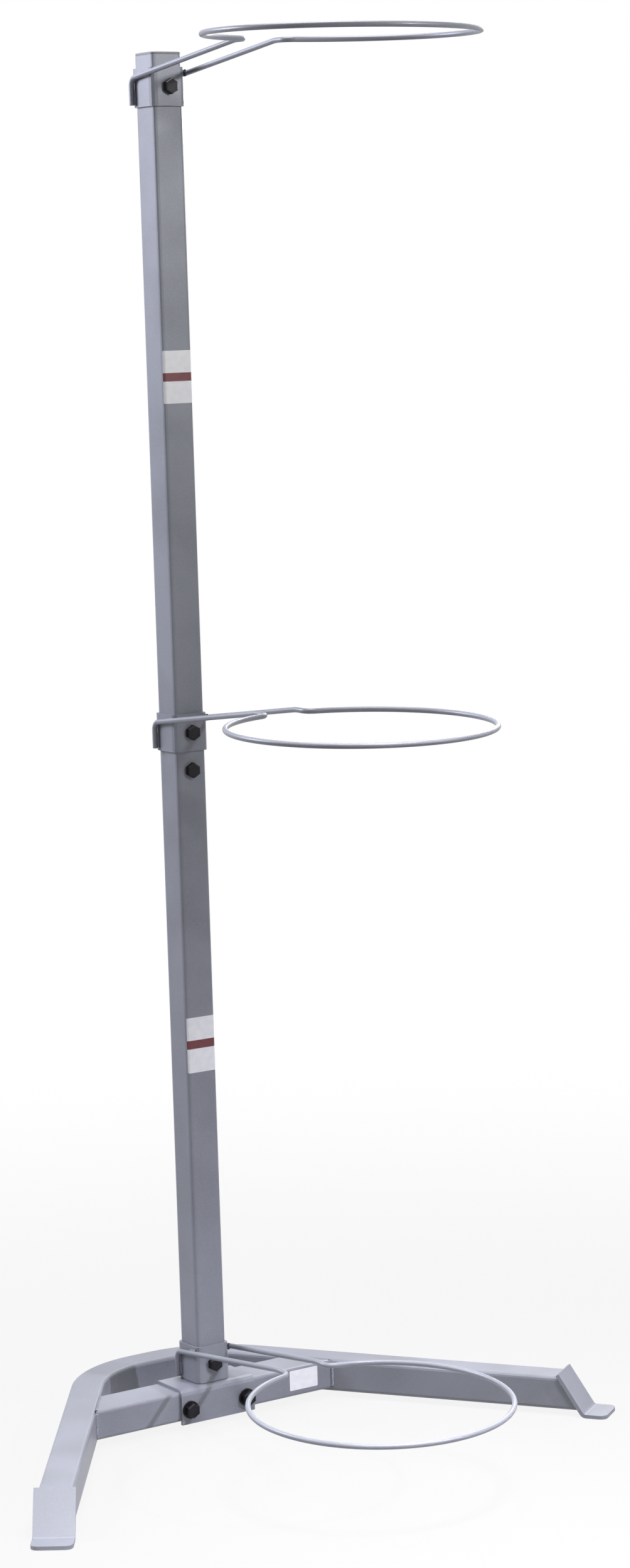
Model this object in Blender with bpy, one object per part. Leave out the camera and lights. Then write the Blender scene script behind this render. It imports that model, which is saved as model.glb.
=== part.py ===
"""Free-standing tower that stores three large exercise balls, one above the other.

A two-section square post stands on a bent-tube base. Three hoops, each bent from one
steel rod, are carried on sleeves that slide on the post and are held by a clamp screw.
Metres, +Z up. The origin is on the floor at the middle of the footprint, the hoops reach
out along -Y, and the whole tower is symmetric about the plane X = 0. Pieces are modelled
round the post's axis and hang from one empty, which sets them over the origin.
"""

import math

import bmesh
import bpy
from mathutils import Matrix, Vector

MM = 0.001

# ---------------------------------------------------------------- square tube
TUBE_SIDE = 45.0 * MM
TUBE_WALL = 2.0 * MM
TUBE_CORNER = 5.0 * MM          # outside radius of the rolled corners
CORNER_STEPS = 3
CLEARANCE = 0.3 * MM            # gap kept between separate pieces that seat on each other

# ---------------------------------------------------------------- base
TUBE_RISE = 8.0 * MM            # underside of the bent tube above the floor
REAR_HALF_RUN = 16.4 * MM       # half the straight run behind the post
BEND_RADIUS = 141.0 * MM        # centreline radius of the two rear bends
BEND_STEPS = 10
LEG_ANGLE = math.radians(35.4)  # each leg's direction, measured from -Y
LEG_LENGTH = 457.0 * MM         # straight part of a leg's centreline
REAR_OFFSET = 149.5 * MM        # centreline of the rear run behind the post axis

BAR_HEIGHT = 40.0 * MM          # flat crossbar between the legs, top flush with theirs
BAR_DEPTH = 60.0 * MM
BAR_CORNER = 4.0 * MM

PLATE_THICKNESS = 5.0 * MM
PLATE_WIDTH = 53.0 * MM
PLATE_SLANT = math.radians(33.0)   # foot plate from the vertical
PLATE_RISE = 2.5 * MM              # plate's rear edge above the leg's top
FLANGE_LENGTH = 33.5 * MM          # tongue on the floor, from the corner of the bend
PLATE_CORNER = 9.0 * MM
PLATE_BEND = 9.0 * MM              # radius on the floor side of the bend

PAD_RADIUS = 14.0 * MM
PAD_NECK_RADIUS = 12.5 * MM
PAD_SOLE = 3.0 * MM                # height of the wide sole

# ---------------------------------------------------------------- saddle under the post
SADDLE_LENGTH = 116.0 * MM
SADDLE_THICKNESS = 4.0 * MM
SADDLE_SKIRT = 4.0 * MM            # flange edges below the underside of the crossbar
BASE_BOLT_SPACING = 90.0 * MM
BASE_BOLT_RISE = 16.0 * MM         # bolt axes above the underside of the crossbar

# ---------------------------------------------------------------- post
POST_TOP = 1833.0 * MM             # top of the cap above the floor
POST_SEAM = 934.0 * MM             # where the upper section stands on the lower one
JOINT_BOLT_DROP = 40.5 * MM        # joint bolt's axis below the seam
SPIGOT_WALL = 2.0 * MM
SPIGOT_MARGIN = 39.5 * MM          # spigot's end past the joint bolt's axis
CAP_RIM = 3.0 * MM
CAP_EDGE = 0.8 * MM                # eased edge of the cap's rim
CAP_DOME = 0.8 * MM
CAP_DOME_INSET = 12.0 * MM
CAP_PLUG_DEPTH = 18.0 * MM
CAP_PLUG_WALL = 2.0 * MM
CAP_RIBS = 3                       # gripping ribs round the plug
CAP_RIB_HEIGHT = 0.5 * MM
CAP_RIB_BASE = 2.0 * MM            # height of the sloping side of a rib

# ---------------------------------------------------------------- sleeves and hoops
SLEEVE_WALL = 3.0 * MM
SLEEVE_PLAY = 0.5 * MM             # running gap round the post
SLEEVE_HEIGHT = 50.0 * MM
SLEEVE_MIDDLE_DROP = 15.0 * MM     # middle sleeve's foot below the seam, which it hides
SLEEVE_TOP_DROP = 70.5 * MM        # top sleeve's foot below the top of the post
SLEEVE_REST_GAP = 0.8 * MM         # lowest sleeve over the saddle

ROD_DIAMETER = 7.0 * MM
ROD_RESOLUTION = 3                 # Blender's bevel resolution: ten sides
RING_RADIUS = 168.5 * MM           # centreline
RING_STEPS = 48
RING_REACH = 424.5 * MM            # ring centre in front of the post axis
RING_DIP = math.radians(1.5)       # the rings lean this much down to the front
ARM_SLOPE = math.radians(6.9)      # the arms climb this much to the front
ARM_HEIGHT = 40.0 * MM             # arm over the sleeve's foot, at the post axis
LEG_SETBACK = 19.5 * MM            # hoop legs behind the post axis
LEG_FOOT = 3.0 * MM                # end of a hoop leg over the sleeve's foot
LEG_BEND = 11.0 * MM
KNEE_BEND = 90.0 * MM              # the slight bend from the arms' plane to the ring's
MOUTH_BEND = 15.0 * MM             # bend from an arm into the ring

# ---------------------------------------------------------------- fasteners, M12
BOLT_DIAMETER = 12.0 * MM
BOLT_FLATS = 18.0 * MM
HEAD_HEIGHT = 7.5 * MM
HEAD_CHAMFER = 1.2 * MM
NUT_HEIGHT = 10.8 * MM
NUT_COLLAR = 3.2 * MM              # round collar that holds the locking ring
NUT_COLLAR_RADIUS = 8.3 * MM
WASHER_RADIUS = 12.0 * MM
WASHER_THICKNESS = 2.5 * MM
BOLT_OVERHANG = 3.0 * MM           # thread showing past a nut
THREAD_CHAMFER = 1.2 * MM
HOLE_PLAY = 0.35 * MM              # hole radius over shank radius
ROUND_STEPS = 24                   # facets round turned pieces and holes

# ---------------------------------------------------------------- worked out
HALF = TUBE_SIDE / 2
TUBE_TOP = TUBE_RISE + TUBE_SIDE
TUBE_AXIS = TUBE_RISE + HALF
SADDLE_INNER = BAR_DEPTH / 2 + CLEARANCE
SADDLE_FACE = SADDLE_INNER + SADDLE_THICKNESS
SADDLE_TOP = TUBE_TOP + CLEARANCE + SADDLE_THICKNESS
BAR_FOOT = TUBE_TOP - BAR_HEIGHT
SADDLE_FOOT = BAR_FOOT - SADDLE_SKIRT
BASE_BOLT_HEIGHT = BAR_FOOT + BASE_BOLT_RISE
JOINT_BOLT_HEIGHT = POST_SEAM - JOINT_BOLT_DROP
SPIGOT_REACH = JOINT_BOLT_DROP + SPIGOT_MARGIN
SLEEVE_BORE = HALF + SLEEVE_PLAY
SLEEVE_FACE = SLEEVE_BORE + SLEEVE_WALL
SLEEVE_BOTTOM_FOOT = SADDLE_TOP + SLEEVE_REST_GAP
SLEEVE_MIDDLE_FOOT = POST_SEAM - SLEEVE_MIDDLE_DROP
SLEEVE_TOP_FOOT = POST_TOP - SLEEVE_TOP_DROP
HOLE_RADIUS = BOLT_DIAMETER / 2 + HOLE_PLAY
ARM_OFFSET = SLEEVE_FACE + CLEARANCE + ROD_DIAMETER / 2
SPIGOT_HALF = HALF - TUBE_WALL - CLEARANCE
SCREW_REACH = SLEEVE_FACE - HALF - CLEARANCE
WASHER_STACK = WASHER_THICKNESS + CLEARANCE
UPPER_END = POST_TOP - CAP_DOME - CAP_RIM - CLEARANCE
FRONT_REACH = RING_REACH + RING_RADIUS + ROD_DIAMETER / 2
REAR_REACH = REAR_OFFSET + HALF
CUT_REACH = 4 * TUBE_SIDE          # cutters run well past what they cut


# ================================================================ finishes
# name of the finish, linear colour, roughness, metallic
SILVER_PAINT = ("silver_powder_coat", (0.37, 0.38, 0.43), 0.45, 0.35)
BLACK_OXIDE = ("black_oxide_steel", (0.008, 0.008, 0.010), 0.5, 0.6)
GREY_PLASTIC = ("grey_polyethylene", (0.25, 0.26, 0.26), 0.5, 0.0)
BLACK_RUBBER = ("black_rubber", (0.015, 0.015, 0.015), 0.8, 0.0)
BARE_STEEL = ("zinc_plated_steel", (0.55, 0.56, 0.57), 0.35, 1.0)


def coat(part, surface):
    """Give a part its own material in one of the finishes above."""
    finish_name, colour, roughness, metallic = surface
    material = bpy.data.materials.new(f"{part.name}_{finish_name}")
    material.use_nodes = True
    shader = material.node_tree.nodes["Principled BSDF"]
    shader.inputs["Base Color"].default_value = (*colour, 1.0)
    shader.inputs["Roughness"].default_value = roughness
    shader.inputs["Metallic"].default_value = metallic
    material.diffuse_color = (*colour, 1.0)
    part.data.materials.clear()
    part.data.materials.append(material)


# ================================================================ objects and modifiers
def add_object(name, data):
    part = bpy.data.objects.new(name, data)
    bpy.context.collection.objects.link(part)
    return part


def verts_of(geom):
    return [item for item in geom if isinstance(item, bmesh.types.BMVert)]


def finish(name, bm, surface):
    """Turn a bmesh into a named object with its faces out and its round sides smooth."""
    bmesh.ops.remove_doubles(bm, verts=bm.verts, dist=0.001 * MM)
    bmesh.ops.recalc_face_normals(bm, faces=bm.faces)
    mesh = bpy.data.meshes.new(name)
    bm.to_mesh(mesh)
    bm.free()
    mesh.shade_smooth()
    mesh.set_sharp_from_angle(angle=math.radians(35))
    part = add_object(name, mesh)
    coat(part, surface)
    return part


def tool(part):
    """Mark an object as a hidden operand of a Boolean."""
    part.hide_render = True
    part.display_type = "WIRE"
    return part


def boolean(part, operand, operation="DIFFERENCE"):
    modifier = part.modifiers.new(operation.lower(), "BOOLEAN")
    modifier.operation = operation
    modifier.object = tool(operand)
    operand.parent = part
    modifier.solver = "EXACT"


def thicken(part, thickness):
    """Give an open sheet its wall, on the inner side of its faces."""
    wall = part.modifiers.new("wall", "SOLIDIFY")
    wall.thickness = thickness
    wall.offset = -1.0
    wall.use_even_offset = True
    wall.use_quality_normals = True


def extruded(name, outline, depth, place, surface=BARE_STEEL):
    """Prism: a closed outline in the local XY plane, pushed along local Z."""
    bm = bmesh.new()
    face = bm.faces.new([bm.verts.new((x, y, 0.0)) for x, y in outline])
    pushed = bmesh.ops.extrude_face_region(bm, geom=[face])["geom"]
    bmesh.ops.translate(bm, vec=(0.0, 0.0, depth), verts=verts_of(pushed))
    bmesh.ops.transform(bm, matrix=place, verts=bm.verts)
    return finish(name, bm, surface)


def turned(name, profile, place, surface, closed=False):
    """Lathe work: (radius, height) points spun round the local Z axis."""
    bm = bmesh.new()
    verts = [bm.verts.new((radius, 0.0, height)) for radius, height in profile]
    edges = [bm.edges.new(pair) for pair in zip(verts, verts[1:])]
    if closed:
        edges.append(bm.edges.new((verts[-1], verts[0])))
    bmesh.ops.spin(bm, geom=verts + edges, cent=(0, 0, 0), axis=(0, 0, 1),
                   angle=2 * math.pi, steps=ROUND_STEPS, use_merge=True)
    bmesh.ops.transform(bm, matrix=place, verts=bm.verts)
    return finish(name, bm, surface)


def towards_back(x, y, z):
    """Place whose local Z runs along +Y from a point, with local Y up."""
    return Matrix.Translation((x, y, z)) @ Matrix(((-1, 0, 0, 0), (0, 0, 1, 0),
                                                   (0, 1, 0, 0), (0, 0, 0, 1)))


def hole_along_y(x, z, front=-CUT_REACH, back=CUT_REACH):
    profile = [(0.0, 0.0), (HOLE_RADIUS, 0.0), (HOLE_RADIUS, back - front), (0.0, back - front)]
    return turned("hole", profile, towards_back(x, front, z), BARE_STEEL)


def push_edges(bm, edges, offset):
    """Extrude a run of edges by an offset and return its far edges."""
    pushed = bmesh.ops.extrude_edge_only(bm, edges=edges)["geom"]
    bmesh.ops.translate(bm, vec=offset, verts=verts_of(pushed))
    return [item for item in pushed if isinstance(item, bmesh.types.BMEdge) and item.is_boundary]


def rounded_face(bm, half, corner):
    """Square face in the local XY plane with rounded corners."""
    bmesh.ops.create_grid(bm, x_segments=1, y_segments=1, size=half)
    bmesh.ops.bevel(bm, geom=bm.verts[:], affect="VERTICES", offset=corner,
                    offset_type="OFFSET", segments=CORNER_STEPS, profile=0.5, material=-1)
    return bm.faces[:][0]


def box_section(name, half_x, half_y, foot, top, corner, wall, surface, place=Matrix()):
    """Rectangular tube with rolled corners along local Z, open at both ends."""
    bm = bmesh.new()
    bmesh.ops.create_cube(bm, size=1.0)
    bmesh.ops.scale(bm, vec=(2 * half_x, 2 * half_y, top - foot), verts=bm.verts)
    bmesh.ops.translate(bm, vec=(0, 0, (foot + top) / 2), verts=bm.verts)
    uprights = [e for e in bm.edges if e.verts[0].co.z != e.verts[1].co.z]
    bmesh.ops.bevel(bm, geom=uprights, affect="EDGES", offset=corner, offset_type="OFFSET",
                    segments=CORNER_STEPS, profile=0.5, material=-1)
    bm.normal_update()
    ends = [face for face in bm.faces if abs(face.normal.z) > 0.9]
    bmesh.ops.delete(bm, geom=ends, context="FACES_ONLY")
    bmesh.ops.transform(bm, matrix=place, verts=bm.verts)
    tube = finish(name, bm, surface)
    thicken(tube, wall)
    return tube


def folded_strip(name, points, width, radius, thickness, place, surface, tip_radius=0.0):
    """Sheet folded along a line of local XZ points, as wide as given along local Y.

    The line is the sheet's outer side. Every fold turns by the same angle.
    """
    bm = bmesh.new()
    verts = [bm.verts.new((x, -width / 2, z)) for x, z in points]
    edges = [bm.edges.new(pair) for pair in zip(verts, verts[1:])]
    push_edges(bm, edges, (0, width, 0))
    bm.normal_update()
    folds = [edge for edge in bm.edges if len(edge.link_faces) == 2]
    setback = radius * math.tan(folds[0].calc_face_angle() / 2)
    bmesh.ops.bevel(bm, geom=folds, affect="EDGES", offset=setback, offset_type="OFFSET",
                    segments=CORNER_STEPS, profile=0.5, material=-1)
    if tip_radius:
        tip = Vector((points[-1][0], points[-1][1]))
        corners = [v for v in bm.verts if (Vector((v.co.x, v.co.z)) - tip).length < CLEARANCE]
        bmesh.ops.bevel(bm, geom=corners, affect="VERTICES", offset=tip_radius,
                        offset_type="OFFSET", segments=CORNER_STEPS, profile=0.5, material=-1)
    bmesh.ops.transform(bm, matrix=place, verts=bm.verts)
    strip = finish(name, bm, surface)
    thicken(strip, thickness)
    return strip


# ================================================================ base
def leg_end():
    """Centreline point, in plan, where the right leg's top edge ends."""
    turn = math.pi / 2 - LEG_ANGLE
    x = REAR_HALF_RUN + BEND_RADIUS * math.sin(turn) + LEG_LENGTH * math.sin(LEG_ANGLE)
    y = REAR_OFFSET - BEND_RADIUS * (1 - math.cos(turn)) - LEG_LENGTH * math.cos(LEG_ANGLE)
    return Vector((x, y, 0.0))


def leg_place(side):
    """Place at a leg's end: local X outward along the leg, local Z up from the floor."""
    end = leg_end()
    along = Vector((side * math.sin(LEG_ANGLE), -math.cos(LEG_ANGLE), 0.0))
    across = Vector((0, 0, 1)).cross(along)
    return Matrix((
        (along.x, across.x, 0, side * end.x),
        (along.y, across.y, 0, end.y),
        (0, 0, 1, 0),
        (0, 0, 0, 1),
    ))


def end_line(z):
    """How far a leg's slanted end lies outward of its top edge, at a height."""
    return (TUBE_TOP - z) * math.tan(PLATE_SLANT)


def leg_inner_x(y):
    """X, at a given Y, of the face that seats on the right leg's inner wall."""
    end = leg_end()
    inset = (HALF + CLEARANCE) / math.cos(LEG_ANGLE)
    return end.x - inset + (end.y - y) * math.tan(LEG_ANGLE)


def make_base_tube():
    """One tube bent twice behind the post: half of it is pushed and spun, then mirrored."""
    bm = bmesh.new()
    section = rounded_face(bm, HALF, TUBE_CORNER)
    bmesh.ops.delete(bm, geom=[section], context="FACES_ONLY")
    upright = Matrix.Translation((0, REAR_OFFSET, TUBE_AXIS)) @ Matrix.Rotation(math.pi / 2, 4, "Y")
    bmesh.ops.transform(bm, matrix=upright, verts=bm.verts)
    edges = push_edges(bm, bm.edges[:], (REAR_HALF_RUN, 0, 0))
    verts = list({vert for edge in edges for vert in edge.verts})
    bend = bmesh.ops.spin(bm, geom=verts + edges, axis=(0, 0, -1), steps=BEND_STEPS,
                          cent=(REAR_HALF_RUN, REAR_OFFSET - BEND_RADIUS, 0),
                          angle=math.pi / 2 - LEG_ANGLE)
    edges = [e for e in bend["geom_last"] if isinstance(e, bmesh.types.BMEdge)]
    overrun = LEG_LENGTH + end_line(0.0)
    push_edges(bm, edges, (overrun * math.sin(LEG_ANGLE), -overrun * math.cos(LEG_ANGLE), 0))
    bmesh.ops.mirror(bm, geom=bm.verts[:] + bm.edges[:] + bm.faces[:], axis="X",
                     merge_dist=0.01 * MM)
    tube = finish("base_bent_tube", bm, SILVER_PAINT)
    thicken(tube, TUBE_WALL)
    above, below = 2 * TUBE_TOP, -TUBE_TOP
    wedge = [(end_line(above), above), (end_line(below), below), (CUT_REACH, below),
             (CUT_REACH, above)]
    across = Matrix.Translation((0, TUBE_SIDE, 0)) @ Matrix.Rotation(math.pi / 2, 4, "X")
    for side in (-1, 1):
        boolean(tube, extruded("leg_end_cut", wedge, 2 * TUBE_SIDE, leg_place(side) @ across))


def make_foot_plate(name, side):
    """Slanted plate on a leg's cut end, folded out into a tongue on the floor."""
    gap = CLEARANCE / math.cos(PLATE_SLANT)
    brow = TUBE_TOP + PLATE_RISE
    heel = end_line(0.0) + gap
    line = [(end_line(brow) + gap, brow), (heel, 0.0), (heel + FLANGE_LENGTH, 0.0)]
    folded_strip(name, line, PLATE_WIDTH, PLATE_BEND, PLATE_THICKNESS, leg_place(side),
                 SILVER_PAINT, tip_radius=PLATE_CORNER)


def make_crossbar():
    """Flat tube from leg to leg, its ends mitred along the legs' inner walls."""
    reach = leg_inner_x(-BAR_DEPTH)
    flat = Matrix.Translation((0, 0, TUBE_TOP - BAR_HEIGHT / 2)) @ Matrix.Rotation(math.pi / 2, 4, "Y")
    bar = box_section("base_crossbar", BAR_HEIGHT / 2, BAR_DEPTH / 2, -reach, reach, BAR_CORNER,
                      TUBE_WALL, SILVER_PAINT, flat)
    for side in (-1, 1):
        outline = [(side * leg_inner_x(-BAR_DEPTH), -BAR_DEPTH),
                   (side * leg_inner_x(BAR_DEPTH), BAR_DEPTH),
                   (side * 2 * reach, BAR_DEPTH), (side * 2 * reach, -BAR_DEPTH)]
        low = Matrix.Translation((0, 0, -CUT_REACH))
        boolean(bar, extruded("mitre_cut", outline, 2 * CUT_REACH, low))
    for x in (-BASE_BOLT_SPACING / 2, BASE_BOLT_SPACING / 2):
        boolean(bar, hole_along_y(x, BASE_BOLT_HEIGHT))


def make_rear_pad(name, side):
    """Round pad that levels the back of the base with the feet, under a rear bend."""
    height = TUBE_RISE - CLEARANCE
    half_turn = (math.pi / 2 - LEG_ANGLE) / 2
    x = REAR_HALF_RUN + BEND_RADIUS * math.sin(half_turn)
    y = REAR_OFFSET - BEND_RADIUS * (1 - math.cos(half_turn))
    profile = [(0, 0), (PAD_RADIUS, 0), (PAD_RADIUS, PAD_SOLE), (PAD_NECK_RADIUS, PAD_SOLE + MM),
               (PAD_NECK_RADIUS, height), (0, height)]
    turned(name, profile, Matrix.Translation((side * x, y, 0)), BLACK_RUBBER)


def make_saddle():
    """Channel over the crossbar that the post stands on, bolted through both flanges."""
    line = [(-SADDLE_FACE, SADDLE_FOOT), (-SADDLE_FACE, SADDLE_TOP), (SADDLE_FACE, SADDLE_TOP),
            (SADDLE_FACE, SADDLE_FOOT)]
    outer_bend = BAR_CORNER + CLEARANCE + SADDLE_THICKNESS
    saddle = folded_strip("post_saddle", line, SADDLE_LENGTH, outer_bend, SADDLE_THICKNESS,
                          Matrix.Rotation(math.pi / 2, 4, "Z"), SILVER_PAINT)
    for x in (-BASE_BOLT_SPACING / 2, BASE_BOLT_SPACING / 2):
        boolean(saddle, hole_along_y(x, BASE_BOLT_HEIGHT))


# ================================================================ post
def make_post():
    """Two square sections that meet at the seam, and the spigot inside them."""
    spans = [("lower_post", HALF, TUBE_WALL, SADDLE_TOP + CLEARANCE, POST_SEAM, SILVER_PAINT),
             ("upper_post", HALF, TUBE_WALL, POST_SEAM + CLEARANCE, UPPER_END, SILVER_PAINT),
             ("joint_spigot", SPIGOT_HALF, SPIGOT_WALL, POST_SEAM - SPIGOT_REACH,
              POST_SEAM + SPIGOT_REACH, BARE_STEEL)]
    for name, half, wall, foot, top, surface in spans:
        corner = TUBE_CORNER - (HALF - half)
        section = box_section(name, half, half, foot, top, corner, wall, surface)
        if name != "upper_post":
            boolean(section, hole_along_y(0.0, JOINT_BOLT_HEIGHT))


def step_face(bm, face, rise, half):
    """Extrude a level square face by a rise and bring it to a half width."""
    face = bmesh.ops.extrude_discrete_faces(bm, faces=[face])["faces"][0]
    ratio = half / max(vert.co.x for vert in face.verts)
    bmesh.ops.scale(bm, vec=(ratio, ratio, 1.0), verts=face.verts[:])
    bmesh.ops.translate(bm, vec=(0, 0, rise), verts=face.verts[:])
    return face


def make_cap():
    """Plug with a low domed head; ribs round the plug grip the upper section's open end."""
    bm = bmesh.new()
    rim_foot = UPPER_END + CLEARANCE
    bottom = rounded_face(bm, HALF, TUBE_CORNER)
    bmesh.ops.translate(bm, vec=(0, 0, rim_foot), verts=bm.verts)
    copy = bmesh.ops.duplicate(bm, geom=[bottom])["geom"]
    top = [item for item in copy if isinstance(item, bmesh.types.BMFace)]
    rise = bmesh.ops.extrude_discrete_faces(bm, faces=top)["faces"][0]
    bmesh.ops.translate(bm, vec=(0, 0, CAP_RIM - CAP_EDGE), verts=rise.verts[:])
    edge = step_face(bm, rise, CAP_EDGE, HALF - CAP_EDGE)
    step_face(bm, edge, CAP_DOME, HALF - CAP_DOME_INSET)
    plug = HALF - TUBE_WALL - CLEARANCE
    neck = plug - CAP_RIB_HEIGHT
    pitch = CAP_PLUG_DEPTH / CAP_RIBS
    face = step_face(bm, bottom, 0.0, neck)
    for _ in range(CAP_RIBS):
        face = step_face(bm, face, CAP_RIB_BASE - pitch, neck)
        face = step_face(bm, face, 0.0, plug)
        face = step_face(bm, face, -CAP_RIB_BASE, neck)
    face = step_face(bm, face, 0.0, neck - CAP_PLUG_WALL)
    step_face(bm, face, CAP_PLUG_DEPTH, neck - CAP_PLUG_WALL)
    finish("post_top_cap", bm, GREY_PLASTIC)


# ================================================================ fasteners
def hex_prism(name, height, place, chamfer_at):
    """Hexagon with a corner up, its rim eased at the local height given."""
    bm = bmesh.new()
    bmesh.ops.create_circle(bm, cap_ends=True, segments=6,
                            radius=BOLT_FLATS / 2 / math.cos(math.pi / 6))
    pushed = bmesh.ops.extrude_face_region(bm, geom=bm.faces[:])["geom"]
    bmesh.ops.translate(bm, vec=(0, 0, height), verts=verts_of(pushed))
    rim = [e for e in bm.edges if all(abs(v.co.z - chamfer_at) < CLEARANCE for v in e.verts)]
    bmesh.ops.bevel(bm, geom=rim, affect="EDGES", offset=HEAD_CHAMFER, offset_type="OFFSET",
                    segments=1, profile=0.5, material=-1)
    bmesh.ops.transform(bm, matrix=place, verts=bm.verts)
    return finish(name, bm, BLACK_OXIDE)


def make_bolt(name, x, z, seat, length):
    """Hex bolt whose head bears on the plane y = seat and whose shank runs to +Y."""
    place = towards_back(x, seat - CLEARANCE - HEAD_HEIGHT, z)
    bolt = hex_prism(name, HEAD_HEIGHT, place, 0.0)
    radius = BOLT_DIAMETER / 2
    end = HEAD_HEIGHT + CLEARANCE + length
    profile = [(0, HEAD_HEIGHT / 2), (radius, HEAD_HEIGHT / 2), (radius, end - THREAD_CHAMFER),
               (radius - THREAD_CHAMFER, end), (0, end)]
    boolean(bolt, turned("shank", profile, place, BLACK_OXIDE), "UNION")
    return bolt


def make_nut(name, x, z, seat):
    """Lock nut that bears on the plane y = seat, with its collar towards +Y."""
    place = towards_back(x, seat + CLEARANCE, z)
    hex_height = NUT_HEIGHT - NUT_COLLAR
    nut = hex_prism(name, hex_height, place, hex_height)
    profile = [(0, hex_height / 2), (NUT_COLLAR_RADIUS, hex_height / 2),
               (NUT_COLLAR_RADIUS, NUT_HEIGHT - THREAD_CHAMFER),
               (NUT_COLLAR_RADIUS - THREAD_CHAMFER, NUT_HEIGHT), (0, NUT_HEIGHT)]
    boolean(nut, turned("collar", profile, place, BLACK_OXIDE), "UNION")
    boolean(nut, hole_along_y(x, z))


def make_washer(name, x, z, seat):
    profile = [(HOLE_RADIUS, 0), (WASHER_RADIUS, 0), (WASHER_RADIUS, WASHER_THICKNESS),
               (HOLE_RADIUS, WASHER_THICKNESS)]
    turned(name, profile, towards_back(x, seat + CLEARANCE, z), BLACK_OXIDE, closed=True)


def through_bolt(name, x, z, half_grip, front_washer=False):
    """Bolt from the front through the grip, with a washer and a lock nut behind."""
    head_seat = -half_grip
    if front_washer:
        head_seat -= WASHER_STACK
        make_washer(f"{name}_front_washer", x, z, head_seat - CLEARANCE)
    make_washer(f"{name}_rear_washer", x, z, half_grip)
    nut_seat = half_grip + WASHER_STACK
    length = nut_seat + CLEARANCE + NUT_HEIGHT + BOLT_OVERHANG - head_seat
    make_bolt(f"{name}_bolt", x, z, head_seat, length)
    make_nut(f"{name}_nut", x, z, nut_seat)


# ================================================================ hoops
def fillet(before, corner, after, radius, steps):
    """Points of an arc that rounds the corner of a path."""
    back = (before - corner).normalized()
    ahead = (after - corner).normalized()
    half_turn = back.angle(ahead) / 2
    tangent = radius / math.tan(half_turn)
    centre = corner + (back + ahead).normalized() * (radius / math.sin(half_turn))
    start = corner + back * tangent - centre
    end = corner + ahead * tangent - centre
    axis = start.cross(end)
    sweep = start.angle(end)
    return [centre + Matrix.Rotation(sweep * step / steps, 3, axis) @ start
            for step in range(steps + 1)]


def mouth_centre():
    """Centre, in plan, of the bend from the right arm into the ring."""
    x = ARM_OFFSET + MOUTH_BEND
    y = -RING_REACH + math.sqrt((RING_RADIUS + MOUTH_BEND) ** 2 - x ** 2)
    return Vector((x, y))


def arc_in_plane(centre, radius, start, end, steps, height):
    """Points of a plan arc, each at the height that the function gives for its Y."""
    points = []
    for step in range(steps + 1):
        angle = start + (end - start) * step / steps
        x = centre.x + radius * math.cos(angle)
        y = centre.y + radius * math.sin(angle)
        points.append(Vector((x, y, height(y))))
    return points


def hoop_path():
    """Centreline of one hoop: right leg, right arm, ring, left arm, left leg."""
    bend = mouth_centre()
    knee_y = bend.y + ROD_DIAMETER + KNEE_BEND * math.tan((ARM_SLOPE + RING_DIP) / 2)

    def arm_height(y):
        return ARM_HEIGHT - y * math.tan(ARM_SLOPE)

    def ring_height(y):
        return arm_height(knee_y) + (y - knee_y) * math.tan(RING_DIP)

    foot = Vector((ARM_OFFSET, LEG_SETBACK, LEG_FOOT))
    heel = Vector((ARM_OFFSET, LEG_SETBACK, arm_height(LEG_SETBACK)))
    knee = Vector((ARM_OFFSET, knee_y, arm_height(knee_y)))
    mouth = Vector((ARM_OFFSET, bend.y, ring_height(bend.y)))
    half = [foot]
    half += fillet(foot, heel, knee, LEG_BEND, 6)
    half += fillet(heel, knee, mouth, KNEE_BEND, 2)
    ring_centre = Vector((0.0, -RING_REACH))
    inward = ring_centre - bend
    turn_end = math.atan2(inward.y, inward.x)
    half += arc_in_plane(bend, MOUTH_BEND, math.pi, turn_end + 2 * math.pi, 6, ring_height)
    outward = bend - ring_centre
    ring_start = math.atan2(outward.y, outward.x)
    half += arc_in_plane(ring_centre, RING_RADIUS, ring_start, -math.pi / 2,
                         RING_STEPS // 2, ring_height)[1:]
    other_half = [Vector((-point.x, point.y, point.z)) for point in reversed(half[:-1])]
    return half + other_half


def make_hoop(name):
    """Round rod along the path, with flat ends."""
    curve = bpy.data.curves.new(name, "CURVE")
    curve.dimensions = "3D"
    curve.bevel_depth = ROD_DIAMETER / 2
    curve.bevel_resolution = ROD_RESOLUTION
    curve.use_fill_caps = True
    path = hoop_path()
    rod = curve.splines.new("POLY")
    rod.points.add(len(path) - 1)
    for point, place in zip(rod.points, path):
        point.co = (*place, 1.0)
    rod.use_smooth = True
    hoop = add_object(name, curve)
    coat(hoop, SILVER_PAINT)
    return hoop


def make_carrier(level, foot):
    """One ball ring: its sleeve, its hoop and its clamp screw, on the post's axis."""
    sleeve = box_section(f"{level}_sleeve", SLEEVE_FACE, SLEEVE_FACE, 0.0, SLEEVE_HEIGHT,
                         TUBE_CORNER + SLEEVE_PLAY + SLEEVE_WALL, SLEEVE_WALL, SILVER_PAINT)
    middle = SLEEVE_HEIGHT / 2
    boolean(sleeve, hole_along_y(0.0, middle, back=0.0))
    sleeve.location.z = foot
    make_hoop(f"{level}_hoop").location.z = foot
    screw = make_bolt(f"{level}_clamp_screw", 0.0, 0.0, -SLEEVE_FACE, SCREW_REACH)
    screw.location.z = foot + middle


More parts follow.
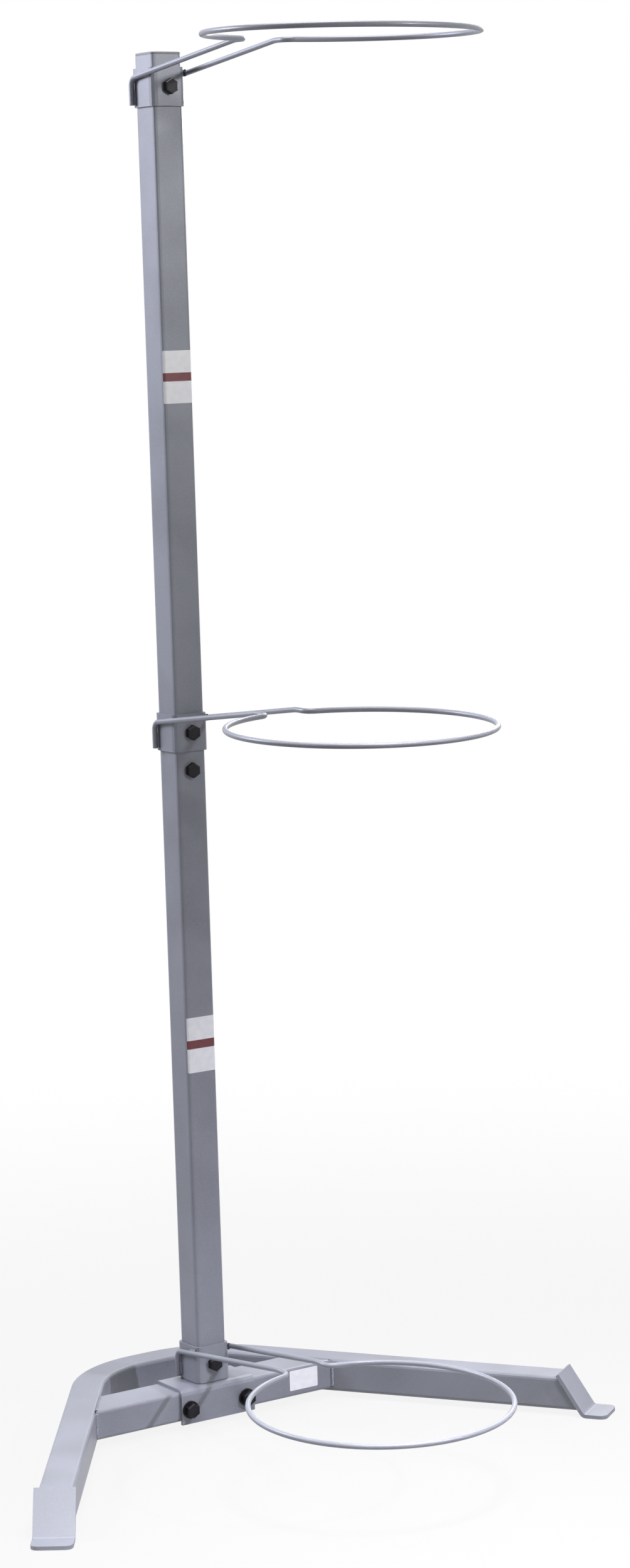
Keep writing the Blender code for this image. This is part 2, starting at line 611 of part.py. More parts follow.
# ================================================================ build
def main():
    for item in list(bpy.data.objects):
        bpy.data.objects.remove(item)
    make_base_tube()
    make_crossbar()
    make_saddle()
    make_post()
    make_cap()
    for word, side in (("left", -1), ("right", 1)):
        make_foot_plate(f"{word}_foot_plate", side)
        make_rear_pad(f"{word}_rear_pad", side)
        through_bolt(f"{word}_base", side * BASE_BOLT_SPACING / 2, BASE_BOLT_HEIGHT,
                     SADDLE_FACE, front_washer=True)
    through_bolt("joint", 0.0, JOINT_BOLT_HEIGHT, HALF)
    for level, foot in (("bottom", SLEEVE_BOTTOM_FOOT), ("middle", SLEEVE_MIDDLE_FOOT),
                        ("top", SLEEVE_TOP_FOOT)):
        make_carrier(level, foot)
    rack = add_object("rack", None)
    rack.location.y = (FRONT_REACH - REAR_REACH) / 2
    for item in bpy.data.objects:
        if item.parent is None and item != rack:
            item.parent = rack


main()
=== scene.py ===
"""Exercise ball storage rack: finishes, small details, floor, light and camera.

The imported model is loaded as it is, and round rods stand in for its ten-sided hoops. Metres,
+Z up; the hoops reach out along -Y.
"""
import math

import bmesh
import bpy
from mathutils import Matrix, Vector


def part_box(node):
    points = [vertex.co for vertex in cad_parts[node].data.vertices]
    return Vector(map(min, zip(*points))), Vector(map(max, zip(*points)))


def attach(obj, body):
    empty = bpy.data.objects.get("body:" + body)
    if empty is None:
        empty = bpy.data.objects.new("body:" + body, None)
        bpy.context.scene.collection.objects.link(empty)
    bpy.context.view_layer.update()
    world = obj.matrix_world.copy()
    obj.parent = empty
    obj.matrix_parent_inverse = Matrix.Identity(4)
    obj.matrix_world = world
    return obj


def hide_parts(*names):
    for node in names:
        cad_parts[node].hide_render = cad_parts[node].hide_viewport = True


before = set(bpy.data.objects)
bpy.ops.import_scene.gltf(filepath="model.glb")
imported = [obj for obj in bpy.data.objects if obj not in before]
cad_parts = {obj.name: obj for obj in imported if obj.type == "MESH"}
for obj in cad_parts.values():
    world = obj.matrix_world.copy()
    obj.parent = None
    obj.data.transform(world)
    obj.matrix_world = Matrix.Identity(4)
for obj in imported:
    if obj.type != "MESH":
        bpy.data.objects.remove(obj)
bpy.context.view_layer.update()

MM = 0.001
POST_LOW, POST_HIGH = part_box("lower_post")
POST_Y = (POST_LOW[1] + POST_HIGH[1]) / 2
POST_FACE = POST_LOW[1]
BAR_LOW, BAR_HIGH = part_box("base_crossbar")
SADDLE_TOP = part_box("post_saddle")[1][2]

LEG_ANGLE = math.radians(35.4)       # legs from -Y
PLATE_SLANT = math.radians(33.0)     # cut ends of the legs, from the vertical
LEG_END = Vector((396.06 * MM, -70.08 * MM, 0.0))   # middle of the right leg's top edge
TUBE_HALF = 22.5 * MM
TUBE_CORNER = 5.0 * MM               # outside radius of the rolled corners
TUBE_RISE = 8.0 * MM                 # underside of the bent tube above the floor
TUBE_TOP = 53.0 * MM

# Sizes of a hoop, the same as its solid's
ROD_RADIUS = 3.5 * MM
ARM_GAP = 0.3 * MM                   # between a sleeve and its hoop's arms
RING_RADIUS = 168.5 * MM             # centreline
RING_REACH = 424.5 * MM              # ring centre in front of the post axis
RING_DIP = math.radians(1.5)         # rings lean down to the front
ARM_SLOPE = math.radians(6.9)        # arms climb to the front
ARM_HEIGHT = 40.0 * MM               # arm over the sleeve's foot, at the post axis
LEG_SETBACK = 19.5 * MM              # hoop legs behind the post axis
LEG_FOOT = 3.0 * MM                  # end of a hoop leg over the sleeve's foot
LEG_BEND = 11.0 * MM
KNEE_BEND = 90.0 * MM                # bend from the arms' slope to the ring's
MOUTH_BEND = 15.0 * MM               # bend from an arm into the ring

DROP_LENGTH = 1.9 * MM               # one drop of a weld bead
FILM_THICKNESS = 0.15 * MM           # label films
FILM_CORNER = 1.5 * MM
THREAD_PITCH = 1.75 * MM             # M12
THREAD_ROOT = 5.7 * MM               # radii of the valleys and ridges
THREAD_CREST = 6.25 * MM
THREAD_LENGTH = 9.0 * MM
LOCK_RING_HOLE = 6.4 * MM            # radii of the nylon ring in a lock nut
LOCK_RING_EDGE = 7.6 * MM


# ================================================================ materials
def linear(hex_colour):
    """Linear RGBA of an sRGB hex colour."""
    levels = [int(hex_colour[i:i + 2], 16) / 255 for i in (1, 3, 5)]
    return (*[v / 12.92 if v <= 0.04045 else ((v + 0.055) / 1.055) ** 2.4 for v in levels], 1.0)


def add_node(tree, kind, settings=None, inputs=None):
    """Add a node; each input gets a value or, from another node's output, a link."""
    made = tree.nodes.new(kind)
    for name, value in (settings or {}).items():
        setattr(made, name, value)
    for name, value in (inputs or {}).items():
        if isinstance(value, bpy.types.NodeSocket):
            tree.links.new(value, made.inputs[name])
        else:
            made.inputs[name].default_value = value
    return made


def new_surface(name, **values):
    """Material with one Principled shader whose even values are set; returns its tree too."""
    material = bpy.data.materials.new(name)
    material.use_nodes = True
    tree = material.node_tree
    shader = tree.nodes["Principled BSDF"]
    for socket, value in values.items():
        shader.inputs[socket.replace("_", " ")].default_value = value
    place = add_node(tree, "ShaderNodeTexCoord").outputs["Object"]
    return material, tree, shader, place


def grain(tree, place, size, detail=2.0):
    """Noise whose blotches are about the given size in metres."""
    return add_node(tree, "ShaderNodeTexNoise", None,
                    {"Vector": place, "Scale": 1.0 / size, "Detail": detail}).outputs["Fac"]


def spread(tree, factor, low, high, start=0.35, end=0.65):
    """Number from low to high as the factor goes from start to end."""
    return add_node(tree, "ShaderNodeMapRange", None,
                    {"Value": factor, "From Min": start, "From Max": end,
                     "To Min": low, "To Max": high}).outputs["Result"]


def blend_colours(tree, factor, first, second):
    """Colour between two, each a hex colour's linear value or another node's output."""
    mix = add_node(tree, "ShaderNodeMix", {"data_type": "RGBA"},
                   {0: factor, 6: first, 7: second})
    return mix.outputs[2]


def relief(tree, shader, height, depth, strength=1.0):
    """Bump of a real depth in metres."""
    bump = add_node(tree, "ShaderNodeBump", None,
                    {"Height": height, "Distance": depth, "Strength": strength})
    tree.links.new(bump.outputs["Normal"], shader.inputs["Normal"])


def silver_powder_coat():
    """Mild steel under a baked silver powder coat.

    Fine aluminium flake in the resin gives a cool grey with a soft sheen, and the powder's
    orange peel breaks up the highlights.
    """
    coat, tree, shader, place = new_surface("silver_powder_coat", Metallic=0.1, IOR=1.5)
    flake = grain(tree, place, 1.1 * MM, 1.0)        # real flake is finer; this size shows
    drift = grain(tree, place, 90 * MM, 3.0)         # slow change in film thickness
    peel = grain(tree, place, 2.4 * MM)              # orange peel of a sprayed powder
    tone = blend_colours(tree, spread(tree, drift, 0.0, 1.0),
                         linear("#7F818A"), linear("#8A8C96"))
    bright = blend_colours(tree, spread(tree, flake, 0.0, 0.3, 0.5, 0.75), tone,
                           linear("#A6A8B3"))
    tree.links.new(bright, shader.inputs["Base Color"])
    tree.links.new(spread(tree, drift, 0.36, 0.46), shader.inputs["Roughness"])
    relief(tree, shader, peel, 0.05 * MM, 0.6)
    return coat


def black_oxide_steel():
    """Forged fastener steel, chemically blackened and oiled: near black with a dull gleam."""
    oxide, tree, shader, place = new_surface("black_oxide_steel", Metallic=0.25,
                                              Specular_IOR_Level=0.3)
    cloud = grain(tree, place, 5 * MM, 4.0)
    pits = grain(tree, place, 0.9 * MM)              # forging texture, coarser than real
    tone = blend_colours(tree, spread(tree, cloud, 0.0, 1.0), linear("#0B0B0F"),
                         linear("#17171C"))
    tree.links.new(tone, shader.inputs["Base Color"])
    tree.links.new(spread(tree, cloud, 0.38, 0.56), shader.inputs["Roughness"])
    relief(tree, shader, pits, 0.04 * MM, 0.5)
    return oxide


def grey_polyethylene():
    """Moulded polyethylene plug: waxy mid grey with a fine spark-eroded grain."""
    plastic, tree, shader, place = new_surface("grey_polyethylene", IOR=1.51)
    haze = grain(tree, place, 14 * MM, 3.0)
    spark = grain(tree, place, 0.8 * MM)             # mould grain, coarser than real
    tone = blend_colours(tree, spread(tree, haze, 0.0, 1.0), linear("#77797D"),
                         linear("#828489"))
    tree.links.new(tone, shader.inputs["Base Color"])
    tree.links.new(spread(tree, haze, 0.48, 0.6), shader.inputs["Roughness"])
    relief(tree, shader, spark, 0.03 * MM, 0.5)
    return plastic


def black_rubber():
    """Moulded rubber pad: matt black, dusty where it has been handled."""
    rubber, tree, shader, place = new_surface("black_rubber", IOR=1.52)
    dust = grain(tree, place, 6 * MM, 5.0)
    skin = grain(tree, place, 1.0 * MM)
    tone = blend_colours(tree, spread(tree, dust, 0.0, 1.0, 0.4, 0.8), linear("#18181A"),
                         linear("#343436"))
    tree.links.new(tone, shader.inputs["Base Color"])
    tree.links.new(spread(tree, dust, 0.74, 0.9), shader.inputs["Roughness"])
    relief(tree, shader, skin, 0.05 * MM, 0.6)
    return rubber


def zinc_plated_steel():
    """Bright zinc plate on the hidden spigot: pale metal with a faint crystal bloom."""
    zinc, tree, shader, place = new_surface("zinc_plated_steel", Metallic=1.0)
    bloom = grain(tree, place, 8 * MM, 4.0)
    tone = blend_colours(tree, spread(tree, bloom, 0.0, 1.0), linear("#BFC1C4"),
                         linear("#CFD1D6"))
    tree.links.new(tone, shader.inputs["Base Color"])
    tree.links.new(spread(tree, bloom, 0.28, 0.42), shader.inputs["Roughness"])
    relief(tree, shader, bloom, 0.02 * MM, 0.4)
    return zinc


def label_film(name, pale, deep):
    """Printed vinyl film: satin, slightly uneven ink over a smooth face."""
    film, tree, shader, place = new_surface(name, IOR=1.5, Coat_Weight=0.25,
                                            Coat_Roughness=0.25)
    ink = grain(tree, place, 9 * MM, 3.0)
    fibre = grain(tree, place, 1.5 * MM)
    tone = blend_colours(tree, spread(tree, ink, 0.0, 1.0), linear(pale), linear(deep))
    tree.links.new(tone, shader.inputs["Base Color"])
    tree.links.new(spread(tree, fibre, 0.36, 0.48), shader.inputs["Roughness"])
    relief(tree, shader, fibre, 0.01 * MM, 0.4)
    return film


def lock_ring_nylon():
    """Nylon ring of a lock nut: milky and slightly glossy."""
    nylon, tree, shader, place = new_surface("lock_ring_nylon", IOR=1.53)
    milk = grain(tree, place, 3 * MM, 3.0)
    tone = blend_colours(tree, spread(tree, milk, 0.0, 1.0), linear("#C9CACB"),
                         linear("#DADBDA"))
    tree.links.new(tone, shader.inputs["Base Color"])
    tree.links.new(spread(tree, milk, 0.3, 0.4), shader.inputs["Roughness"])
    relief(tree, shader, milk, 0.02 * MM, 0.4)
    return nylon


PAINT = silver_powder_coat()
OXIDE = black_oxide_steel()
WHITE_FILM = label_film("white_label_film", "#F2F2F6", "#F9F9FB")
RED_FILM = label_film("dark_red_label_film", "#6E2930", "#622329")
NYLON = lock_ring_nylon()
FINISHES = {
    "silver_powder_coat": PAINT,
    "black_oxide_steel": OXIDE,
    "grey_polyethylene": grey_polyethylene(),
    "black_rubber": black_rubber(),
    "zinc_plated_steel": zinc_plated_steel(),
}


def finish_of(node):
    """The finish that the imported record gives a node."""
    for name in FINISHES:
        if name in node.data.materials[0].name:
            return FINISHES[name]
    raise ValueError(f"{node.name} has no known finish")


# ================================================================ pieces
def place_piece(name, bm, body, *materials):
    """Make a bmesh a piece that rides on a body, smooth but for edges over 40 degrees."""
    bmesh.ops.remove_doubles(bm, verts=bm.verts, dist=0.002 * MM)
    bmesh.ops.recalc_face_normals(bm, faces=bm.faces)
    mesh = bpy.data.meshes.new(name)
    bm.to_mesh(mesh)
    bm.free()
    mesh.shade_smooth()
    mesh.set_sharp_from_angle(angle=math.radians(40))
    piece = bpy.data.objects.new(name, mesh)
    bpy.context.scene.collection.objects.link(piece)
    for material in materials:
        mesh.materials.append(material)
    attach(piece, body)
    return piece


def verts_of(geom):
    """The vertices of an operator's mixed output."""
    return [item for item in geom if isinstance(item, bmesh.types.BMVert)]


def add_bead(bm, start, end, width):
    """Weld bead between two points: a round section that swells and shrinks once a drop."""
    start, end = Vector(start), Vector(end)
    run = end - start
    drops = max(2, round(run.length / DROP_LENGTH))
    section = bmesh.ops.create_circle(bm, cap_ends=True, segments=10, radius=width / 2)["verts"]
    turn = run.to_track_quat("Z", "Y").to_matrix().to_4x4()
    bmesh.ops.transform(bm, matrix=Matrix.Translation(start) @ turn, verts=section)
    face = section[0].link_faces[0]
    swell = [0.72, 1.0, 0.9] * drops + [0.7]
    centre, size = start, 1.0
    for target in swell:
        face = bmesh.ops.extrude_discrete_faces(bm, faces=[face])["faces"][0]
        step = run / len(swell)
        bmesh.ops.translate(bm, vec=step, verts=face.verts[:])
        centre = centre + step
        ratio = target / size
        bmesh.ops.scale(bm, vec=(ratio,) * 3, space=Matrix.Translation(-centre),
                        verts=face.verts[:])
        size = target


def weld_piece(name, body, runs, width):
    """One piece for a group of beads, painted over with the tube."""
    bm = bmesh.new()
    for start, end in runs:
        add_bead(bm, start, end, width)
    piece = place_piece(name, bm, body, PAINT)


def on_leg(side, along, across, height):
    """Point at a leg's end: along the leg, across it, and above the floor."""
    forward = Vector((side * math.sin(LEG_ANGLE), -math.cos(LEG_ANGLE), 0.0))
    sideways = Vector((0, 0, 1)).cross(forward)
    end = Vector((side * LEG_END.x, LEG_END.y, 0.0))
    return end + forward * along + sideways * across + Vector((0, 0, height))


def make_base_welds():
    """Beads where the crossbar meets the legs and where the foot plates close their ends."""
    inner = 3.5 * MM                 # keeps a bead's ends off the rounded edges
    lean = (BAR_HIGH[1] - BAR_LOW[1]) * math.tan(LEG_ANGLE)
    for word, side in (("left", -1), ("right", 1)):
        front = Vector((side * BAR_HIGH[0], BAR_LOW[1], 0.0))
        back = Vector((side * (BAR_HIGH[0] - lean), BAR_HIGH[1], 0.0))
        low, high = Vector((0, 0, BAR_LOW[2] + inner)), Vector((0, 0, BAR_HIGH[2] - inner))
        weld_piece(f"{word}_crossbar_weld", "frame",
                   [(front + low, front + high), (back + low, back + high)], width=6 * MM)
        ease = (back - front).normalized() * inner
        top = Vector((0, 0, BAR_HIGH[2] - 1.5 * MM))
        weld_piece(f"{word}_crossbar_top_weld", "frame",
                   [(front + ease + top, back - ease + top)], width=5 * MM)
        slope = math.tan(PLATE_SLANT)
        reach = TUBE_HALF - TUBE_CORNER
        top_z, foot_z = TUBE_TOP - TUBE_CORNER, TUBE_RISE + TUBE_CORNER
        runs = [(on_leg(side, 0.0, -reach, TUBE_TOP), on_leg(side, 0.0, reach, TUBE_TOP))]
        for across in (-TUBE_HALF, TUBE_HALF):
            runs.append((on_leg(side, (TUBE_TOP - top_z) * slope, across, top_z),
                         on_leg(side, (TUBE_TOP - foot_z) * slope, across, foot_z)))
        weld_piece(f"{word}_foot_plate_weld", "frame", runs, width=4.5 * MM)


def make_post_weld():
    """Bead round the foot of the post, on the saddle."""
    z = SADDLE_TOP + 0.5 * MM
    reach = TUBE_HALF - 3.0 * MM
    runs = []
    for turn in range(4):
        quarter = Matrix.Rotation(turn * math.pi / 2, 4, "Z")
        middle = Vector((0, POST_Y, z))
        runs.append((middle + quarter @ Vector((-reach, -TUBE_HALF, 0)),
                     middle + quarter @ Vector((reach, -TUBE_HALF, 0))))
    weld_piece("post_foot_weld", "frame", runs, width=1.5 * MM)


def round_corner(before, corner, after, radius, steps=12):
    """Points of an arc that rounds the corner of a path."""
    back = (before - corner).normalized()
    ahead = (after - corner).normalized()
    half_turn = back.angle(ahead) / 2
    middle = corner + (back + ahead).normalized() * (radius / math.sin(half_turn))
    start = corner + back * (radius / math.tan(half_turn)) - middle
    end = corner + ahead * (radius / math.tan(half_turn)) - middle
    return [middle + Matrix.Rotation(start.angle(end) * step / steps, 3, start.cross(end)) @ start
            for step in range(steps + 1)]


def hoop_path(arm_x):
    """Centreline of a hoop from the post axis and its sleeve's foot: leg, arm, ring, arm, leg."""
    mouth_x = arm_x + MOUTH_BEND
    mouth_y = -RING_REACH + math.sqrt((RING_RADIUS + MOUTH_BEND) ** 2 - mouth_x ** 2)
    knee_y = mouth_y + 2 * ROD_RADIUS + KNEE_BEND * math.tan((ARM_SLOPE + RING_DIP) / 2)

    def arm_height(y):
        return ARM_HEIGHT - y * math.tan(ARM_SLOPE)

    def arc(x, y, radius, start, end, steps):
        points = []
        for step in range(steps + 1):
            angle = start + (end - start) * step / steps
            at_y = y + radius * math.sin(angle)
            height = arm_height(knee_y) + (at_y - knee_y) * math.tan(RING_DIP)
            points.append(Vector((x + radius * math.cos(angle), at_y, height)))
        return points

    turn_end = math.atan2(-RING_REACH - mouth_y, -mouth_x) + 2 * math.pi
    bend = arc(mouth_x, mouth_y, MOUTH_BEND, math.pi, turn_end, 14)
    foot = Vector((arm_x, LEG_SETBACK, LEG_FOOT))
    heel = Vector((arm_x, LEG_SETBACK, arm_height(LEG_SETBACK)))
    knee = Vector((arm_x, knee_y, arm_height(knee_y)))
    half = [foot, *round_corner(foot, heel, knee, LEG_BEND)]
    half += [*round_corner(heel, knee, bend[0], KNEE_BEND), *bend]
    half += arc(0.0, -RING_REACH, RING_RADIUS, turn_end - math.pi, -math.pi / 2, 72)[1:]
    return half + [Vector((-point.x, point.y, point.z)) for point in reversed(half[:-1])]


def make_hoop_rod(level):
    """The hoop's bent rod, as round as a drawn rod is, on the path of the solid it stands for."""
    sleeve_low, sleeve_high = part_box(f"{level}_sleeve")
    path = bpy.data.curves.new(f"{level}_hoop_path", "CURVE")
    path.dimensions = "3D"
    path.bevel_depth = ROD_RADIUS
    path.bevel_resolution = 8
    path.use_fill_caps = True
    points = hoop_path(sleeve_high[0] + ARM_GAP + ROD_RADIUS)
    spline = path.splines.new("POLY")
    spline.points.add(len(points) - 1)
    for point, place in zip(spline.points, points):
        point.co = (place.x, POST_Y + place.y, sleeve_low[2] + place.z, 1.0)
    shaper = bpy.data.objects.new(path.name, path)
    bm = bmesh.new()
    bm.from_mesh(shaper.to_mesh())
    shaper.to_mesh_clear()
    bpy.data.objects.remove(shaper)
    piece = place_piece(f"{level}_hoop_rod", bm, f"{level}_ring", PAINT)
    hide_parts(f"{level}_hoop")


def make_hoop_welds(level):
    """Short beads that fix a hoop's legs and arms to its sleeve."""
    sleeve_low, sleeve_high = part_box(f"{level}_sleeve")
    foot, side_face, front_face = sleeve_low[2], sleeve_high[0], sleeve_low[1]
    sink = 0.6 * MM                  # bead's middle off the sleeve and inside the rod's side
    beside = ROD_RADIUS - sink
    leg_y = POST_Y + LEG_SETBACK
    runs = []
    for side in (-1, 1):
        x = side * (side_face + sink)
        for y in (leg_y - beside, leg_y + beside):
            runs.append(((x, y, foot + 6 * MM), (x, y, foot + 22 * MM)))
        for over in (beside, -beside):
            ends = []
            for y in (front_face + 3 * MM, front_face + 17 * MM):
                arm_z = foot + ARM_HEIGHT - (y - POST_Y) * math.tan(ARM_SLOPE)
                ends.append((x, y, arm_z + over))
            runs.append(tuple(ends))
    weld_piece(f"{level}_hoop_weld", f"{level}_ring", runs, width=3.4 * MM)


def wrap_round_post(bm):
    """Bend a film that lies flat in XY, facing +Z, round the post's two corner radii.

    It is first cut across every millimetre of a corner, so that it bends smoothly.
    """
    flat = TUBE_HALF - TUBE_CORNER
    for step in range(5):
        for side in (-1, 1):
            geom = bm.verts[:] + bm.edges[:] + bm.faces[:]
            bmesh.ops.bisect_plane(bm, geom=geom, plane_co=(side * (flat + step * MM), 0, 0),
                                   plane_no=(1, 0, 0))
    for vert in bm.verts:
        turn = (abs(vert.co.x) - flat) / TUBE_CORNER
        if turn > 0:
            radius = TUBE_CORNER + vert.co.z
            vert.co.x = math.copysign(flat + radius * math.sin(turn), vert.co.x)
            vert.co.z = radius * math.cos(turn) - TUBE_CORNER


def make_label(name, width, z_low, z_high, face_y, x_middle=0.0, band=None):
    """Blank film with rounded corners on a face that looks to -Y.

    With a band, printed across it at two heights, it is a post label and wraps the corners.
    """
    bm = bmesh.new()
    bmesh.ops.create_grid(bm, x_segments=1, y_segments=1, size=0.5)
    bmesh.ops.scale(bm, vec=(width, z_high - z_low, 1.0), verts=bm.verts)
    bmesh.ops.bevel(bm, geom=bm.verts[:], affect="VERTICES", offset=FILM_CORNER,
                    offset_type="OFFSET", segments=4, profile=0.5, material=-1)
    pushed = bmesh.ops.extrude_face_region(bm, geom=bm.faces[:])["geom"]
    bmesh.ops.translate(bm, vec=(0, 0, FILM_THICKNESS), verts=verts_of(pushed))
    if band:
        wrap_round_post(bm)
    stand = Matrix.Translation((x_middle, face_y, (z_low + z_high) / 2))
    stand = stand @ Matrix.Rotation(math.pi / 2, 4, "X")
    bmesh.ops.transform(bm, matrix=stand, verts=bm.verts)
    if band:
        for z in band:
            geom = bm.verts[:] + bm.edges[:] + bm.faces[:]
            bmesh.ops.bisect_plane(bm, geom=geom, plane_co=(0, 0, z), plane_no=(0, 0, 1))
        for face in bm.faces:
            if band[0] < face.calc_center_median().z < band[1]:
                face.material_index = 1
    place_piece(name, bm, "frame", WHITE_FILM, RED_FILM)


def make_thread(name, x, z, end_y):
    """Thread of a bolt's end: one V-shaped ridge wound along the shank."""
    bm = bmesh.new()
    ridge = [bm.verts.new((0, THREAD_ROOT, 0)), bm.verts.new((0, THREAD_CREST, THREAD_PITCH / 2)),
             bm.verts.new((0, THREAD_ROOT, THREAD_PITCH))]
    edges = [bm.edges.new((ridge[0], ridge[1])), bm.edges.new((ridge[1], ridge[2]))]
    turn_steps = 28
    steps = round((THREAD_LENGTH / THREAD_PITCH - 1.0) * turn_steps)
    bmesh.ops.spin(bm, geom=ridge + edges, cent=(0, 0, 0), axis=(0, 0, 1),
                   dvec=(0, 0, THREAD_PITCH / turn_steps),
                   angle=steps * 2 * math.pi / turn_steps, steps=steps)
    bmesh.ops.holes_fill(bm, edges=[e for e in bm.edges if e.is_boundary], sides=0)
    start = Matrix.Translation((x, end_y - THREAD_LENGTH, z))
    place = start @ Matrix.Rotation(-math.pi / 2, 4, "X")
    bmesh.ops.transform(bm, matrix=place, verts=bm.verts)
    piece = place_piece(name, bm, "frame", OXIDE)


def make_lock_ring(name, nut):
    """Nylon ring that shows between a lock nut's collar and the bolt."""
    low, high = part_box(nut)
    x, z = (low[0] + high[0]) / 2, (low[2] + high[2]) / 2
    bm = bmesh.new()
    bmesh.ops.create_circle(bm, cap_ends=False, segments=36, radius=LOCK_RING_HOLE)
    wall = bmesh.ops.extrude_edge_only(bm, edges=bm.edges[:])["geom"]
    widen = LOCK_RING_EDGE / LOCK_RING_HOLE
    bmesh.ops.scale(bm, vec=(widen, widen, 1.0), verts=verts_of(wall))
    rise = bmesh.ops.extrude_face_region(bm, geom=bm.faces[:])["geom"]
    bmesh.ops.translate(bm, vec=(0, 0, 0.25 * MM), verts=verts_of(rise))
    seat = Matrix.Translation((x, high[1] - 0.05 * MM, z))
    place = seat @ Matrix.Rotation(-math.pi / 2, 4, "X")
    bmesh.ops.transform(bm, matrix=place, verts=bm.verts)
    place_piece(name, bm, "frame", NYLON)


def make_rack_details():
    """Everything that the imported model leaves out, and round rods in place of its hoops."""
    make_base_welds()
    make_post_weld()
    for level in ("bottom", "middle", "top"):
        make_hoop_rod(level)
        make_hoop_welds(level)
    make_label("upper_post_label", width=45 * MM, z_low=1378.3 * MM, z_high=1447.3 * MM,
               face_y=POST_FACE, band=(1407.3 * MM, 1418.3 * MM))
    make_label("lower_post_label", width=44 * MM, z_low=485.3 * MM, z_high=560.3 * MM,
               face_y=POST_FACE, band=(517.8 * MM, 529.3 * MM))
    make_label("crossbar_label", width=45.7 * MM, z_low=21.5 * MM, z_high=49.5 * MM,
               face_y=BAR_LOW[1], x_middle=141.5 * MM)
    for bolt in ("left_base", "right_base", "joint"):
        low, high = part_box(f"{bolt}_bolt")
        x, z = (low[0] + high[0]) / 2, (low[2] + high[2]) / 2
        make_thread(f"{bolt}_thread", x, z, end_y=high[1] - 1.0 * MM)
        make_lock_ring(f"{bolt}_lock_ring", f"{bolt}_nut")


# ================================================================ stage
def white_to_camera(tree, shader_output, surface_input, share):
    """Show plain white in this share to camera, mirror and clear rays; light stays as it is."""
    if shader_output.node.type == "BACKGROUND":
        white_kind = "ShaderNodeBackground"
    else:
        white_kind = "ShaderNodeEmission"
    path = add_node(tree, "ShaderNodeLightPath")
    seen = add_node(tree, "ShaderNodeMath", {"operation": "ADD", "use_clamp": True},
                    {0: path.outputs["Is Camera Ray"], 1: path.outputs["Is Glossy Ray"]})
    seen = add_node(tree, "ShaderNodeMath", {"operation": "ADD", "use_clamp": True},
                    {0: seen.outputs[0], 1: path.outputs["Is Transmission Ray"]})
    factor = add_node(tree, "ShaderNodeMath", {"operation": "MULTIPLY"},
                      {0: seen.outputs[0], 1: share})
    white = add_node(tree, white_kind, None, {"Color": (1, 1, 1, 1), "Strength": 1.0})
    mixed = add_node(tree, "ShaderNodeMixShader", None,
                     {0: factor.outputs[0], 1: shader_output, 2: white.outputs[0]})
    tree.links.new(mixed.outputs[0], surface_input)


def make_floor():
    """Pale floor: mostly white to the camera near the rack, and all white further out."""
    shaded_reach, white_reach = 0.7, 2.6     # metres from the middle of the base
    white_share = 0.88                       # the rest takes the rack's shadow
    bm = bmesh.new()
    bmesh.ops.create_grid(bm, x_segments=1, y_segments=1, size=30.0)
    mesh = bpy.data.meshes.new("studio_floor")
    bm.to_mesh(mesh)
    bm.free()
    floor = bpy.data.objects.new("studio_floor", mesh)
    bpy.context.scene.collection.objects.link(floor)
    material, tree, shader, place = new_surface("pale_studio_floor", Roughness=0.9,
                                                Base_Color=linear("#8C8C8C"))
    reach = add_node(tree, "ShaderNodeVectorMath", {"operation": "LENGTH"}, {0: place})
    share = add_node(tree, "ShaderNodeMapRange", {"interpolation_type": "SMOOTHSTEP"},
                     {"Value": reach.outputs["Value"], "From Min": shaded_reach,
                      "From Max": white_reach, "To Min": white_share, "To Max": 1.0})
    white_to_camera(tree, shader.outputs[0], tree.nodes["Material Output"].inputs["Surface"],
                    share.outputs["Result"])
    mesh.materials.append(material)


def make_world(level):
    """Even, faintly cool light from all round, which the camera sees as white."""
    world = bpy.data.worlds.new("studio")
    world.use_nodes = True
    tree = world.node_tree
    sky = tree.nodes["Background"]
    sky.inputs["Color"].default_value = linear("#F4F6FA")
    sky.inputs["Strength"].default_value = level
    white_to_camera(tree, sky.outputs[0], tree.nodes["World Output"].inputs["Surface"], 1.0)
    bpy.context.scene.world = world


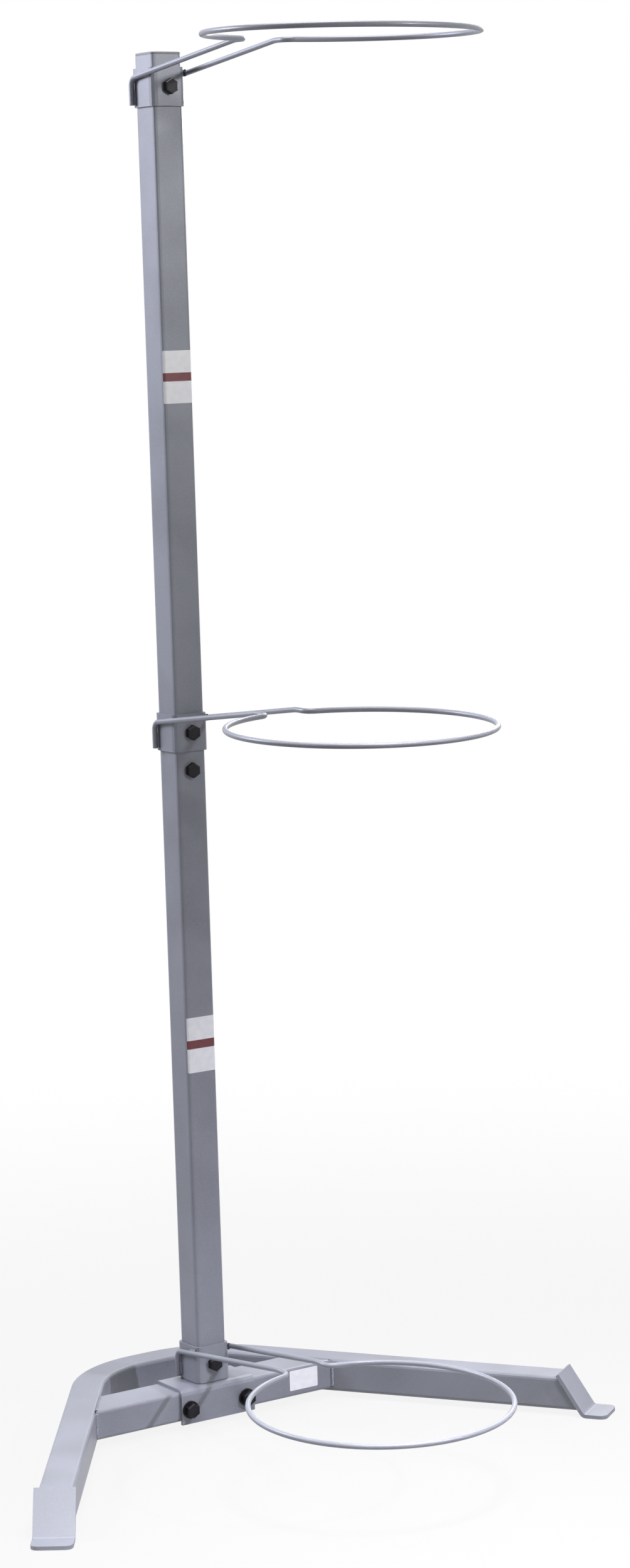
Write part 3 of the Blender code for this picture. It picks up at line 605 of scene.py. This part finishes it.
def make_lamp(name, place, target, size, power, spread_angle=180.0, colour="#FFFFFF"):
    """Round softbox of this size in metres and power in watts, turned to its target.

    A spread angle under 180 degrees is a grid over it.
    """
    lamp = bpy.data.lights.new(name, "AREA")
    lamp.shape = "DISK"
    lamp.size = size
    lamp.energy = power
    lamp.spread = math.radians(spread_angle)
    lamp.color = linear(colour)[:3]
    holder = bpy.data.objects.new(name, lamp)
    bpy.context.scene.collection.objects.link(holder)
    holder.location = place
    holder.visible_camera = False
    holder.rotation_euler = (Vector(target) - Vector(place)).to_track_quat("-Z", "Y").to_euler()


def make_camera():
    """Camera fitted to the photograph, by its post, rings, arms and base."""
    place = (-2.539, -3.926, 1.494)
    heading = math.radians(33.60)        # clockwise from +Y
    pitch = math.radians(7.36)           # downwards
    roll = math.radians(1.76)
    ahead = Vector((math.sin(heading) * math.cos(pitch), math.cos(heading) * math.cos(pitch),
                    -math.sin(pitch)))
    level = Vector((math.cos(heading), -math.sin(heading), 0.0))
    upward = level.cross(ahead)
    right = math.cos(roll) * level - math.sin(roll) * upward
    up = math.sin(roll) * level + math.cos(roll) * upward
    lens = bpy.data.cameras.new("photo_camera")
    lens.lens = 84.18
    lens.sensor_width = 36.0
    lens.clip_end = 200.0
    camera = bpy.data.objects.new("photo_camera", lens)
    bpy.context.scene.collection.objects.link(camera)
    turn = Matrix((right, up, -ahead)).transposed().to_4x4()
    camera.matrix_world = Matrix.Translation(place) @ turn
    bpy.context.scene.camera = camera


# ================================================================ the rack and its light
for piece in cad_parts.values():
    finish = finish_of(piece)
    piece.data.materials.clear()
    piece.data.materials.append(finish)
make_rack_details()
make_floor()
make_world(0.08)
make_lamp("rear_left_window", (-2.1, 2.2, 2.6), (0.0, 0.2, 1.4), 1.4, 116.0, colour="#EFF1FF")
make_lamp("rear_right_window", (2.4, 1.7, 2.4), (0.0, 0.2, 1.0), 1.4, 45.0)
make_lamp("overhead", (0.0, 0.3, 3.6), (0.0, 0.1, 0.0), 1.2, 52.0)
make_lamp("front_softbox", (1.2, -3.0, 2.6), (0.0, 0.1, 1.8), 0.4, 4.7, 50.0)
make_lamp("foot_softbox", (0.0, -1.1, 2.7), (0.0, -0.8, 0.0), 0.6, 12.5, 45.0)
make_lamp("left_foot_softbox", (-1.9, -1.9, 2.3), (-0.45, -0.25, 0.0), 0.4, 0.9, 24.0)
make_lamp("base_key", (1.72, -2.98, 2.41), (0.0, -0.02, -0.1), 0.09, 2.3, 26.0, "#EDEBFF")
make_camera()
bpy.context.scene.view_settings.view_transform = "Standard"
